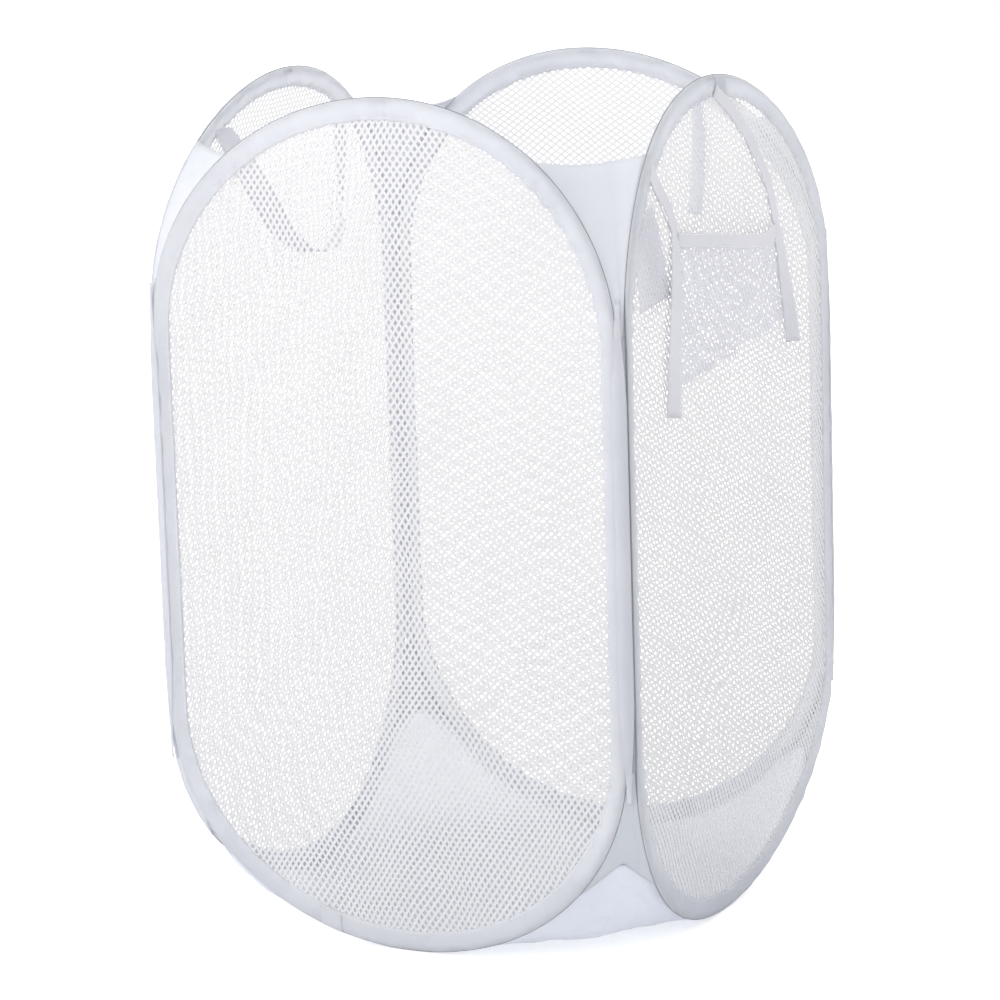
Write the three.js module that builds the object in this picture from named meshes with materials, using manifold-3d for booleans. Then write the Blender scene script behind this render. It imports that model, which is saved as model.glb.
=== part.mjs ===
// A pop up laundry hamper: four sprung oval hoops in fabric sleeves, each filled with an open mesh
// panel, sewn side to side round a square, with a fabric base sheet, four corner gussets above and
// four below, a carry handle, a mesh side pocket with its tapes, and two straps. Millimetres, +Z up,
// the front panel faces -Y. The origin is on the floor, under the middle.
import * as THREE from "three";
import { mergeGeometries, mergeVertices } from "three/addons/utils/BufferGeometryUtils.js";
import Module from "manifold-3d";

const wasm = await Module();
wasm.setup();

// Whole hamper
const hamperWidth = 368; // across the outer faces of two facing panels
const hamperHeight = 600;
const fit = 0.3; // gap between pieces that touch

// Hoops: a straight middle and a rounded end above and below, which lean in over the hamper
const hoopEndHeight = 160;
const endSteps = 14; // even, so that each end has a flat where it meets the floor
const leanDepth = 14;
const leanStart = 10; // past the centre of a hoop's end, to where the lean begins

// Sprung wire and the ferrule that joins its ends
const wireDiameter = 2.2;
const wireSides = 6;
const wireEndGap = 2;
const ferruleWall = 0.35;
const ferruleLength = 14;
const ferruleSides = 10;

// Sleeve: a folded tape with a tunnel for the wire and a slot for the mesh
const sleeveWidth = 18;
const sleeveWall = 0.8;
const tapeThickness = 0.7; // of one leaf of the tape, beside the mesh
const sleeveTaper = 1; // from the tunnel to the flat tape
const bead = 1.3; // rounding of the outer edge

// Mesh panels
const meshThickness = 1;
const strand = 4;
const meshRim = 2; // plain mesh inside the sleeve's edge
const meshStray = 0.22; // how far the mesh's flat faces may stray from its lean
const cellsAcross = 5;
const cellHeightShare = 2; // a cell's height as a share of its width

// Corner seams and gussets
const seamFoot = 130;
const seamTop = 134; // below the hamper's top, as the gusset's two heights are
const seamThickness = 2.4;
const gussetFoot = 130;
const gussetTop = 40;
const footGussetTop = 126; // above the floor, as its foot is
const footGussetFoot = 80;
const gussetThickness = 1;
const gussetColumns = 5;
const gussetRows = 7;

// Base sheet
const baseThickness = 1;
const baseFlat = 0.5; // the rise that is laid flat on the floor
const baseClearance = 0.6;
const baseSteps = 16;
const baseCornerShare = 0.945; // of the hoop's half width, reached by the corners
const baseCornerRise = 78;
const baseEase = 8; // how late the sides draw in towards the corners

// Webbing and tapes
const webbingThickness = 0.8;
const pocketTapeWidth = 10;
const mouthTapeWidth = 10;
const pocketBulge = 15;
const pocketCellWidth = 34;
const pocketCellHeight = 46;
const pocketStrand = 3;
const pocketStray = 0.8; // how far the pocket's flat faces may stray from its bulge
const mouthTapeInset = 2; // from the net's upper corners
const strapWidth = 34;
const ribbonWidth = 10;
const handleWidth = 19;
const tapeSteps = 14;
const mouthTapeSteps = 12;
const strapSteps = 8;
const handleSteps = 22;

// What follows from the driving sizes
const halfWidth = hamperWidth / 2;
const midHeight = hamperHeight / 2;
const wireRadius = wireDiameter / 2;
const ferruleBore = wireRadius + fit;
const ferruleRadius = ferruleBore + ferruleWall;
const tunnelHalf = ferruleRadius + fit;
const sleeveHalf = tunnelHalf + sleeveWall;
const sleeveThickness = 2 * sleeveHalf;
const wireInset = sleeveWall + tunnelHalf;
const tunnelEnd = sleeveWall + 2 * tunnelHalf;
const slotHalf = meshThickness / 2 + fit;
const tapeHalf = slotHalf + tapeThickness;
const hoopHalfWidth = halfWidth - sleeveThickness - fit - fit;
const meshInset = tunnelEnd + sleeveTaper + sleeveTaper;
const overshootShare = 1 / Math.cos(Math.PI / endSteps / 2); // of a corner past the true oval
const shorterShare = 0.999; // of one diagonal, below which the other is taken
const hoopUpperCentre = hamperHeight - hoopEndHeight;
const hoopLowerCentre = hoopEndHeight;
const outerLayDepth = sleeveHalf - tapeHalf - fit - webbingThickness / 2;
const innerLayDepth = sleeveHalf + tapeHalf + fit + webbingThickness / 2;

// Colours, from the photograph
const finishes = {
  wire: { color: 0x8e9296, roughness: 0.35, metalness: 1 },
  ferrule: { color: 0xa3a6a8, roughness: 0.3, metalness: 1 },
  sleeve: { color: 0xebedf2, roughness: 0.8, metalness: 0 },
  mesh: { color: 0xf3f3f3, roughness: 0.7, metalness: 0 },
  sheet: { color: 0xe4e7ee, roughness: 0.75, metalness: 0 },
  webbing: { color: 0xd2d3da, roughness: 0.85, metalness: 0 },
};

// How far a hoop leans in at a height.
function lean(z) {
  const reach = hoopEndHeight - leanStart;
  const past = Math.max(Math.abs(z - midHeight) - (midHeight - reach), 0);
  return leanDepth * (past / reach) ** 2;
}

// A point of a panel: u runs along it, z up, and depth from its outer face inwards.
function place(u, z, depth) {
  return new THREE.Vector3(u, depth + lean(z) - halfWidth, z);
}

// The hoop's outline at an inset from its outer edge, as flats that touch the true oval outside.
function hoopOutline(inset) {
  const across = (hoopHalfWidth - inset) * overshootShare;
  const rise = (hoopEndHeight - inset) * overshootShare;
  const points = [];
  for (const [centre, turn] of [
    [hoopUpperCentre, 0],
    [hoopLowerCentre, Math.PI],
  ])
    for (let k = 0; k < endSteps; k++) {
      const angle = turn + ((k + 0.5) / endSteps) * Math.PI;
      points.push([across * Math.cos(angle), centre + rise * Math.sin(angle)]);
    }
  return points;
}

// Height of the hoop's lower edge at a distance from its middle, on the true oval.
function hoopRise(u) {
  const share = Math.min(Math.abs(u) / hoopHalfWidth, 1);
  return hoopEndHeight * (1 - Math.sqrt(1 - share ** 2));
}

// Half the hoop's width at a height of its upper end, at the corners of its flats.
function hoopReach(z) {
  const share = (z - hoopUpperCentre) / (hoopEndHeight * overshootShare);
  return hoopHalfWidth * overshootShare * Math.sqrt(1 - share ** 2);
}

// Turns a closed surface's faces out if they point in.
function facingOut(positions, index) {
  const geometry = new THREE.BufferGeometry();
  geometry.setAttribute("position", new THREE.BufferAttribute(new Float32Array(positions), 3));
  const [a, b, c] = [new THREE.Vector3(), new THREE.Vector3(), new THREE.Vector3()];
  const corner = (v, i) => v.fromArray(positions, 3 * i);
  let volume = 0;
  for (let i = 0; i < index.length; i += 3) {
    corner(a, index[i]);
    corner(b, index[i + 1]);
    corner(c, index[i + 2]);
    volume += a.dot(b.cross(c));
  }
  if (volume < 0)
    for (let i = 0; i < index.length; i += 3)
      [index[i], index[i + 1]] = [index[i + 1], index[i]];
  geometry.setIndex(index);
  geometry.computeVertexNormals();
  return geometry;
}

// A skin over rows of points, each row a closed loop. The rows close on each other, or get end caps.
// Each four sided face is split across its shorter diagonal, so that the faces of a thin twisted
// ribbon bend alike.
function loft(rows, closed) {
  const count = rows[0].length;
  const points = rows.flat();
  const index = [];
  const last = closed ? rows.length : rows.length - 1;
  for (let i = 0; i < last; i++)
    for (let j = 0; j < count; j++) {
      const a = i * count + j;
      const b = i * count + ((j + 1) % count);
      const c = ((i + 1) % rows.length) * count + j;
      const d = ((i + 1) % rows.length) * count + ((j + 1) % count);
      if (points[b].distanceTo(points[c]) < shorterShare * points[a].distanceTo(points[d]))
        index.push(a, b, c, b, d, c);
      else index.push(a, b, d, a, d, c);
    }
  if (!closed) {
    const end = (rows.length - 1) * count;
    for (let j = 1; j < count - 1; j++)
      index.push(0, j + 1, j, end, end + j, end + j + 1);
  }
  return facingOut(points.flatMap((p) => p.toArray()), index);
}

// A thin closed sheet: at(s, t) gives a point of its outer face for s and t from 0 to 1, and the
// sheet has its thickness on the side that inward(point) points to.
function sheet(columns, rows, thickness, at, inward) {
  const outer = [];
  const inner = [];
  const step = 1e-3;
  for (let i = 0; i <= columns; i++)
    for (let j = 0; j <= rows; j++) {
      const [s, t] = [i / columns, j / rows];
      const point = at(s, t);
      const [ds, dt] = [s < 0.5 ? step : -step, t < 0.5 ? step : -step];
      const along = at(s + ds, t).sub(point).multiplyScalar(Math.sign(ds));
      const up = at(s, t + dt).sub(point).multiplyScalar(Math.sign(dt));
      const normal = along.cross(up).normalize();
      if (normal.dot(inward(point)) < 0) normal.negate();
      outer.push(point);
      inner.push(point.clone().addScaledVector(normal, thickness));
    }
  const at2 = (i, j) => i * (rows + 1) + j;
  const under = outer.length;
  const index = [];
  for (let i = 0; i < columns; i++)
    for (let j = 0; j < rows; j++) {
      const [a, b, c, d] = [at2(i, j), at2(i + 1, j), at2(i + 1, j + 1), at2(i, j + 1)];
      index.push(a, b, c, a, c, d, under + a, under + c, under + b, under + a, under + d, under + c);
    }
  const edge = [];
  for (let i = 0; i < columns; i++) edge.push(at2(i, 0));
  for (let j = 0; j < rows; j++) edge.push(at2(columns, j));
  for (let i = columns; i > 0; i--) edge.push(at2(i, rows));
  for (let j = rows; j > 0; j--) edge.push(at2(0, j));
  edge.forEach((a, k) => {
    const b = edge[(k + 1) % edge.length];
    index.push(a, under + a, under + b, a, under + b, b);
  });
  return facingOut([...outer, ...inner].flatMap((p) => p.toArray()), index);
}

// A flat ribbon along stations of { point, across, through }, all in a panel's u, depth and z.
function ribbon(stations, width, thickness) {
  const corners = [
    [-1, -1],
    [1, -1],
    [1, 1],
    [-1, 1],
  ];
  const rows = stations.map(({ point, across, through }) =>
    corners.map(([a, t]) => {
      const corner = point
        .clone()
        .addScaledVector(across, (a * width) / 2)
        .addScaledVector(through, (t * thickness) / 2);
      return place(corner.x, corner.z, corner.y);
    }),
  );
  return loft(rows, false);
}

// Stations of a ribbon that lies flat against a panel, along a curve in u, depth and z.
function flatStations(curve, steps) {
  const through = new THREE.Vector3(0, 1, 0);
  const stations = [];
  for (let i = 0; i <= steps; i++) {
    const point = curve.getPoint(i / steps);
    const across = curve.getTangent(i / steps).cross(through).normalize();
    stations.push({ point, across, through });
  }
  return stations;
}

// A geometry as a solid that can be cut.
function solid(geometry) {
  const bare = geometry.index ? geometry.toNonIndexed() : geometry.clone();
  bare.deleteAttribute("normal");
  bare.deleteAttribute("uv");
  const merged = mergeVertices(bare);
  return new wasm.Manifold(
    new wasm.Mesh({
      numProp: 3,
      vertProperties: merged.attributes.position.array,
      triVerts: new Uint32Array(merged.index.array),
    }),
  );
}

// A flat shape in u and z, as a prism whose third axis is the thickness, about zero.
function prism(points, thickness) {
  const shape = new THREE.Shape(points.map(([u, z]) => new THREE.Vector2(u, z)));
  const geometry = new THREE.ExtrudeGeometry(shape, { depth: thickness, bevelEnabled: false });
  geometry.translate(0, 0, -thickness / 2);
  return geometry;
}

// Halves the edges of a triangle mesh for as long as bends(a, b) says that an edge has to bend.
function refined(points, triangles, bends) {
  const middles = new Map();
  const middle = (a, b) => {
    const key = Math.min(a, b) + " " + Math.max(a, b);
    if (!middles.has(key)) {
      const half = points[a].map((value, axis) => (value + points[b][axis]) / 2);
      middles.set(key, bends(points[a], points[b]) ? points.push(half) - 1 : null);
    }
    return middles.get(key);
  };
  const next = [];
  for (const [a, b, c] of triangles) {
    const ring = [a, middle(a, b), b, middle(b, c), c, middle(c, a)];
    const first = Math.max(ring.findIndex((point, i) => i % 2 && point !== null), 0);
    const fan = [...ring.slice(first), ...ring.slice(0, first)].filter((point) => point !== null);
    for (let i = 1; i < fan.length - 1; i++) next.push([fan[0], fan[i], fan[i + 1]]);
  }
  return next.length > triangles.length ? refined(points, next, bends) : next;
}

// A net: a flat plate with diamond holes inside a field, laid on a panel at the depth given for
// each place, from which its flat faces may stray so far. All but the thickness is in u and z.
function net(outline, field, lattice, thickness, stray, depthAt) {
  const { cellWidth, cellHeight, bar, centre } = lattice;
  const [us, zs] = [field.map((p) => p[0]), field.map((p) => p[1])];
  const slant = Math.hypot(cellWidth, cellHeight);
  const halfWide = cellWidth / 2 - (bar * slant) / cellHeight / 2;
  const halfHigh = cellHeight / 2 - (bar * slant) / cellWidth / 2;
  const columns = Math.ceil((Math.max(...us) - Math.min(...us)) / cellWidth) + 1;
  const rows = Math.ceil((Math.max(...zs) - Math.min(...zs)) / cellHeight) + 1;
  const holes = [];
  for (let i = -columns; i <= columns; i++)
    for (let j = -rows; j <= rows; j++) {
      if ((i + j) % 2) continue;
      const [u, z] = [centre[0] + (i * cellWidth) / 2, centre[1] + (j * cellHeight) / 2];
      const diamond = [
        [u + halfWide, z],
        [u, z + halfHigh],
        [u - halfWide, z],
        [u, z - halfHigh],
      ];
      holes.push(prism(diamond, 2 * thickness));
    }
  const cut = solid(mergeGeometries(holes)).intersect(solid(prism(field, 3 * thickness)));
  const mesh = solid(prism(outline, thickness)).subtract(cut).getMesh();
  const points = [];
  for (let i = 0; i < mesh.numVert; i++)
    points.push(Array.from(mesh.vertProperties.subarray(i * mesh.numProp, i * mesh.numProp + 3)));
  const triangles = [];
  for (let i = 0; i < mesh.numTri; i++)
    triangles.push(Array.from(mesh.triVerts.subarray(3 * i, 3 * i + 3)));
  const face = ([u, z]) => depthAt(u, z) + lean(z);
  const strays = (a, b, way) => {
    const between = [0, 1].map((axis) => THREE.MathUtils.lerp(a[axis], b[axis], way));
    return Math.abs(face(between) - THREE.MathUtils.lerp(face(a), face(b), way)) > stray;
  };
  const bends = (a, b) => [0.25, 0.5, 0.75].some((way) => strays(a, b, way));
  const faces = refined(points, triangles, bends);
  const placed = points.map(([u, z, through]) => place(u, z, depthAt(u, z) + through).toArray());
  return facingOut(placed.flat(), faces.flat());
}

// Sleeve: the tape's section, swept round the hoop, open towards the mesh.
function sleeveGeometry() {
  const flat = tunnelEnd + sleeveTaper;
  const half = [
    [0, sleeveHalf - bead],
    [bead, sleeveHalf],
    [tunnelEnd, sleeveHalf],
    [flat + sleeveTaper, tapeHalf],
    [sleeveWidth, tapeHalf],
    [sleeveWidth, slotHalf],
    [flat, slotHalf],
    [tunnelEnd, tunnelHalf],
    [sleeveWall, tunnelHalf],
  ];
  const section = [
    ...half.map(([inset, depth]) => [inset, sleeveHalf - depth]),
    ...half.toReversed().map(([inset, depth]) => [inset, sleeveHalf + depth]),
  ];
  return loft(
    section.map(([inset, depth]) => hoopOutline(inset).map(([u, z]) => place(u, z, depth))),
    true,
  );
}

// Points of a round section about the wire's middle line, as insets and depths.
function wireSection(radius, sides) {
  const points = [];
  for (let i = 0; i < sides; i++) {
    const angle = (i / sides) * 2 * Math.PI;
    points.push([wireInset - radius * Math.cos(angle), sleeveHalf + radius * Math.sin(angle)]);
  }
  return points;
}

// Wire: from one side of the top's middle round the hoop to the other side.
function wireGeometry() {
  const columns = wireSection(wireRadius, wireSides).map(([inset, depth]) => {
    const outline = hoopOutline(inset);
    const first = endSteps / 2;
    const round = [...outline.slice(first), ...outline.slice(0, first)];
    const top = hamperHeight - inset;
    return [[-wireEndGap / 2, top], ...round, [wireEndGap / 2, top]].map(([u, z]) =>
      place(u, z, depth),
    );
  });
  return loft(
    columns[0].map((_, i) => columns.map((column) => column[i])),
    false,
  );
}

// Ferrule: a crimped tube over the wire's two ends.
function ferruleGeometry() {
  const rows = [
    [ferruleRadius, -1],
    [ferruleRadius, 1],
    [ferruleBore, 1],
    [ferruleBore, -1],
  ].map(([radius, side]) =>
    wireSection(radius, ferruleSides).map(([inset, depth]) =>
      place((side * ferruleLength) / 2, hamperHeight - inset, depth),
    ),
  );
  return loft(rows, true);
}

// Mesh panel: its edge is held in the sleeve's slot.
function panelMeshGeometry() {
  const cellWidth = (2 * (hoopHalfWidth - sleeveWidth)) / cellsAcross;
  const lattice = {
    cellWidth,
    cellHeight: cellWidth * cellHeightShare,
    bar: strand,
    centre: [0, midHeight],
  };
  const field = hoopOutline(sleeveWidth + meshRim);
  return net(hoopOutline(meshInset), field, lattice, meshThickness, meshStray, () => sleeveHalf);
}

// Corner seam: a folded strip outside the corner, which joins two hoops' straight sides.
function cornerSeamGeometry() {
  const near = hoopHalfWidth + fit;
  const far = halfWidth - fit;
  const bend = near + (far - near) * Math.SQRT1_2;
  const inner = far - seamThickness;
  const section = [
    [near, -far],
    [bend, -bend],
    [far, -near],
    [inner, -near],
    [near, -inner],
  ];
  const rows = [seamFoot, hamperHeight - seamTop].map((z) =>
    section.map(([x, y]) => new THREE.Vector3(x, y, z)),
  );
  return loft(rows, false);
}

// Corner gusset: a fabric V between two hoops' ends, at the corner right of the front panel. It runs
// between two distances from the hoops' ends, which are their tops, or their feet for a lower one.
function gussetGeometry(narrow, wide, isLower) {
  const at = (s, t) => {
    const z = hamperHeight - narrow + (narrow - wide) * t;
    const edge = hoopReach(z) + gussetThickness + fit + fit;
    const face = halfWidth - sleeveHalf - lean(z) - fit;
    const height = isLower ? hamperHeight - z : z;
    const side = new THREE.Vector3(edge, -face, height);
    return side.lerp(new THREE.Vector3(face, -edge, height), s);
  };
  return sheet(gussetColumns, gussetRows, gussetThickness, at, (p) => new THREE.Vector3(-p.x, -p.y, 0));
}

// Base sheet: flat on the floor in the middle, it follows the hoops' lower edges up to its corners,
// which end level below the lower gussets.
function baseGeometry() {
  const edge = halfWidth - sleeveThickness - baseClearance;
  const at = (s, t) => {
    const [p, q] = [2 * s - 1, 2 * t - 1];
    const share = Math.abs(p * q) * Math.max(Math.abs(p), Math.abs(q));
    const rise = hoopRise(share * baseCornerShare * hoopHalfWidth);
    const z = Math.max(Math.min(rise, baseCornerRise) - baseFlat, 0);
    const drawnIn = edge - baseCornerShare * hoopHalfWidth;
    const reach = (along, other) =>
      along * (edge - drawnIn * other ** baseEase) - Math.sign(along) * along ** 4 * lean(z);
    return new THREE.Vector3(reach(p, q), reach(q, p), z);
  };
  return sheet(baseSteps, baseSteps, baseThickness, at, () => new THREE.Vector3(0, 0, 1));
}

// Places on a panel, as shares of the hoop's half width and of the hamper's height.
function onPanel([uShare, zShare], depth) {
  return new THREE.Vector3(uShare * hoopHalfWidth, depth, zShare * hamperHeight);
}

// Pocket tapes: each runs from the hoop's shoulder to a corner of the pocket's mouth, then straight
// down the pocket's side to a square end below it.
const nearTapeShares = [
  [-0.665, 0.912],
  [-0.63, 0.895],
  [-0.565, 0.873],
];
const nearLegShares = [
  [-0.517, 0.843],
  [-0.642, 0.635],
];
const farTapeShares = [
  [0.05, 0.975],
  [0.17, 0.95],
  [0.32, 0.903],
  [0.42, 0.855],
];
const farLegShares = [
  [0.4545, 0.815],
  [0.551, 0.665],
];
// How far down its leg the pocket's net begins and ends, on the near and the far side
const nearNetShares = [0.1, 0.89];
const farNetShares = [0.14, 0.82];

function tapeGeometry(upperShares, legShares) {
  const onTape = (share) => onPanel(share, outerLayDepth);
  const curve = new THREE.CurvePath();
  const [top, end] = legShares.map(onTape);
  curve.add(new THREE.CatmullRomCurve3([...upperShares.map(onTape), top]));
  curve.add(new THREE.LineCurve3(top, end));
  return ribbon(flatStations(curve, tapeSteps), pocketTapeWidth, webbingThickness);
}

// The pocket's four corners between its tapes: at the mouth, then at the foot, near and far.
function pocketCorners() {
  const off = new THREE.Vector3(pocketTapeWidth / 2 + fit + fit, 0, 0);
  const corners = (legShares, netShares, side) => {
    const [top, end] = legShares.map((share) => onPanel(share, outerLayDepth));
    return netShares.map((way) => top.clone().lerp(end, way).addScaledVector(off, side));
  };
  const [nearTop, nearFoot] = corners(nearLegShares, nearNetShares, 1);
  const [farTop, farFoot] = corners(farLegShares, farNetShares, -1);
  return { nearTop, farTop, nearFoot, farFoot };
}

// Depth of the pocket's net at a place: it swells out from its foot and sides to its mouth.
function pocketDepth(u, z) {
  const { nearTop, farTop, nearFoot, farFoot } = pocketCorners();
  const { clamp, mapLinear } = THREE.MathUtils;
  const near = mapLinear(z, nearFoot.z, nearTop.z, nearFoot.x, nearTop.x);
  const far = mapLinear(z, farFoot.z, farTop.z, farFoot.x, farTop.x);
  const foot = mapLinear(u, nearFoot.x, farFoot.x, nearFoot.z, farFoot.z);
  const top = mapLinear(u, nearTop.x, farTop.x, nearTop.z, farTop.z);
  const across = clamp((u - near) / (far - near), 0, 1);
  const up = clamp((z - foot) / (top - foot), 0, 1);
  return outerLayDepth - pocketBulge * Math.sin(Math.PI * across) * up;
}

function pocketMeshGeometry() {
  const { nearTop, farTop, nearFoot, farFoot } = pocketCorners();
  const ring = [nearFoot, farFoot, farTop, nearTop].map((p) => [p.x, p.z]);
  const middle = [0, 1].map((axis) => ring.reduce((sum, p) => sum + p[axis], 0) / ring.length);
  const hem = 2 * pocketStrand;
  const field = ring.map(([u, z]) => [
    u - Math.sign(u - middle[0]) * hem,
    z - Math.sign(z - middle[1]) * hem,
  ]);
  const lattice = {
    cellWidth: pocketCellWidth,
    cellHeight: pocketCellHeight,
    bar: pocketStrand,
    centre: middle,
  };
  return net(ring, field, lattice, webbingThickness, pocketStray, pocketDepth);
}

// Mouth tape: along the pocket's upper edge, from one side tape to the other.
function mouthTapeGeometry() {
  const { nearTop, farTop } = pocketCorners();
  const lift = mouthTapeWidth / 2 + fit;
  const inset = new THREE.Vector3(mouthTapeInset, 0, 0);
  const [start, end] = [nearTop.add(inset), farTop.sub(inset)];
  const stations = [];
  for (let i = 0; i <= mouthTapeSteps; i++) {
    const point = start.clone().lerp(end, i / mouthTapeSteps);
    point.y = pocketDepth(point.x, point.z);
    point.z += lift;
    const across = new THREE.Vector3(0, 0, 1);
    stations.push({ point, across, through: new THREE.Vector3(0, 1, 0) });
  }
  return ribbon(stations, mouthTapeWidth, webbingThickness);
}

// Closing strap and tie ribbon: both hang inside the right panel from the hoop's tape.
const strapShares = [
  [-0.74, 0.868],
  [-0.69, 0.82],
  [-0.64, 0.763],
];
const ribbonShares = [
  [-0.11, 0.98],
  [-0.125, 0.925],
  [-0.21, 0.848],
];

function strapGeometry(shares, width) {
  const curve = new THREE.CatmullRomCurve3(shares.map((share) => onPanel(share, innerLayDepth)));
  return ribbon(flatStations(curve, strapSteps), width, webbingThickness);
}

// Carry handle: a webbing loop that hangs inside the left panel from the hoop's shoulders. It lies
// flat at its ends and turns on edge round its lowest bend.
const handleEndShare = 0.5;
const handleShares = [
  [0.34, 0.9],
  [0.2, 0.85],
  [0.04, 0.8],
  [-0.14, 0.771],
  [-0.32, 0.766],
  [-0.46, 0.785],
  [-0.52, 0.845],
];
const handlePivotInset = 13;

function handleGeometry() {
  const end = handleEndShare * hoopHalfWidth;
  const top = hamperHeight - hoopRise(end) - handlePivotInset;
  const points = [
    new THREE.Vector3(end, 0, top),
    ...handleShares.map((share) => onPanel(share, 0)),
    new THREE.Vector3(-end, 0, top),
  ];
  const curve = new THREE.CatmullRomCurve3(points);
  const inwards = new THREE.Vector3(0, 1, 0);
  const stations = [];
  for (let i = 0; i <= handleSteps; i++) {
    const way = i / handleSteps;
    const turn = (Math.PI / 2) * Math.sin(Math.PI * way) ** 2;
    const point = curve.getPoint(way);
    const tangent = curve.getTangent(way);
    const level = new THREE.Vector3(tangent.z > 0 ? 1 : -1, 0, 0);
    const square = tangent.clone().cross(inwards).normalize();
    if (square.dot(level) < 0) square.negate();
    const flat = i === 0 || i === handleSteps ? level : square;
    const across = flat.multiplyScalar(Math.cos(turn)).addScaledVector(inwards, Math.sin(turn));
    point.y = innerLayDepth + (handleWidth / 2) * Math.sin(turn);
    stations.push({ point, across, through: across.clone().cross(tangent).normalize() });
  }
  return ribbon(stations, handleWidth, webbingThickness);
}

function piece(name, geometry, finish) {
  const mesh = new THREE.Mesh(geometry, new THREE.MeshStandardMaterial(finishes[finish]));
  mesh.name = name;
  return mesh;
}

// The four panels, each a quarter turn on from the last, with the corner at its right hand.
const hamper = new THREE.Group();
const panels = {};
["front", "right", "back", "left"].forEach((side, quarter, sides) => {
  const corner = side + "_" + sides[(quarter + 1) % sides.length];
  const panel = new THREE.Group();
  panel.rotation.z = (quarter * Math.PI) / 2;
  panel.add(
    piece(side + "_hoop_wire", wireGeometry(), "wire"),
    piece(side + "_hoop_ferrule", ferruleGeometry(), "ferrule"),
    piece(side + "_sleeve", sleeveGeometry(), "sleeve"),
    piece(side + "_mesh", panelMeshGeometry(), "mesh"),
    piece("corner_seam_" + corner, cornerSeamGeometry(), "sleeve"),
    piece("corner_gusset_" + corner, gussetGeometry(gussetFoot, gussetTop, false), "sheet"),
    piece("foot_gusset_" + corner, gussetGeometry(footGussetTop, footGussetFoot, true), "sheet"),
  );
  panels[side] = panel;
  hamper.add(panel);
});

hamper.add(piece("base_sheet", baseGeometry(), "sheet"));
panels.right.add(
  piece("pocket_mesh", pocketMeshGeometry(), "mesh"),
  piece("pocket_near_tape", tapeGeometry(nearTapeShares, nearLegShares), "webbing"),
  piece("pocket_far_tape", tapeGeometry(farTapeShares, farLegShares), "webbing"),
  piece("pocket_mouth_tape", mouthTapeGeometry(), "webbing"),
  piece("closing_strap", strapGeometry(strapShares, strapWidth), "webbing"),
  piece("tie_ribbon", strapGeometry(ribbonShares, ribbonWidth), "webbing"),
);
panels.left.add(piece("carry_handle", handleGeometry(), "webbing"));

export default hamper;
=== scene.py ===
"""A pop up laundry hamper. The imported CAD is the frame, and each cloth piece is built here in detail.

Sizes are in millimetres until a mesh is made. A place on a panel is u along it, z up and depth from its
outer face inwards. The front panel faces -Y, and the others are quarter turns of it.
"""
import math

import bpy
import numpy as np
from mathutils import Matrix, Vector


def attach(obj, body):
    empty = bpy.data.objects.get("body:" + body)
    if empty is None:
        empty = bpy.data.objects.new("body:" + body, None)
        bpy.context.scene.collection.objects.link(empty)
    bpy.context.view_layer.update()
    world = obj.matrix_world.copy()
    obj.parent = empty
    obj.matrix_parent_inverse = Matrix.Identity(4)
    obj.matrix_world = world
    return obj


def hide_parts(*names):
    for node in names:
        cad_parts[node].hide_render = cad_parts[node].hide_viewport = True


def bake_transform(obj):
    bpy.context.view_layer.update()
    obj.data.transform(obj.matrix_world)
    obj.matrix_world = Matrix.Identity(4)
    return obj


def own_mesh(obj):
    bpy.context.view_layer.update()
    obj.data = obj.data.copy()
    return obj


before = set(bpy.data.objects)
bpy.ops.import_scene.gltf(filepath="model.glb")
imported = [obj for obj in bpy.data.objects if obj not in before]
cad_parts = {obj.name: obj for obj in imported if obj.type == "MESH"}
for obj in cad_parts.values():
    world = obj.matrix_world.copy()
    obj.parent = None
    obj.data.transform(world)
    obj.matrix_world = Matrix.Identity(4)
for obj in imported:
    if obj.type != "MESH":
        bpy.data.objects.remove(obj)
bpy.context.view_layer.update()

MM = 0.001
SIDES = ("front", "right", "back", "left")
RIGHT, LEFT = 1, 3
CORNERS = ("front_right", "right_back", "back_left", "left_front")
# no joint holds this corner
OPEN_CORNER = "back_left"

# Sizes of the hamper

HALF_WIDTH = 184.0
HEIGHT = 600.0
MID_HEIGHT = HEIGHT / 2
HOOP_HALF = 177.7
HOOP_END = 160.0
HOOP_STATIONS = 300
# a panel leans in by this much at its ends, from this distance past its middle height
LEAN = 14.0
LEAN_START = 150.0
# depths of the sleeve's middle, and of tapes that lie outside and inside it
SLEEVE_HALF = 2.85
OUTER_LAY = 0.65
INNER_LAY = 5.05
SLEEVE_WIDTH = 18.0
TUNNEL_WIDTH = 4.2
STITCH_INSET = 15.2
NET_INSET = 9.0
NET_CELL = (5.0, 7.4)
NET_STRAND = 1.85
SEAM_FOOT, SEAM_TOP = 130.0, 466.0
GUSSET_FOOT, GUSSET_TOP = 468.0, 560.0
FOOT_GUSSET_TOP, FOOT_GUSSET_LOW = 128.0, 78.0
GUSSET_TUCK = 22
GUSSET_ROWS = 30
BASE_EDGE = 177.7
BASE_CORNER_RISE = 78.0
# how far along the hoop's half width the base's corners reach
CORNER_SHARE = 0.945
# the pressed creases across its corners lie where |x| + |y| is this
CREASE_AT = 286
TURN_UP = 17.2
TAPE_WIDTH = 10.0
POCKET_CELL = (5.6, 8.6)
POCKET_STRAND = 1.9
POCKET_BULGE = 15.0
HANDLE_WIDTH = 19.0

# The sleeve's section: insets from the hoop's outline, and half the thickness there
SECTION = (
    (0.0, 0.0), (0.4, 1.2), (1.2, 2.05), (2.5, 2.62), (4.2, 2.8), (6.0, 2.7), (8.0, 2.4),
    (10.0, 2.05), (12.0, 1.7), (14.0, 1.35), (15.2, 1.05), (16.2, 1.2), (17.4, 1.0), (18.0, 0.45),
)


# Places

def eased(share):
    """A share held between 0 and 1, with a soft start and end."""
    share = np.clip(share, 0, 1)
    return share * share * (3 - 2 * share)


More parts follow.
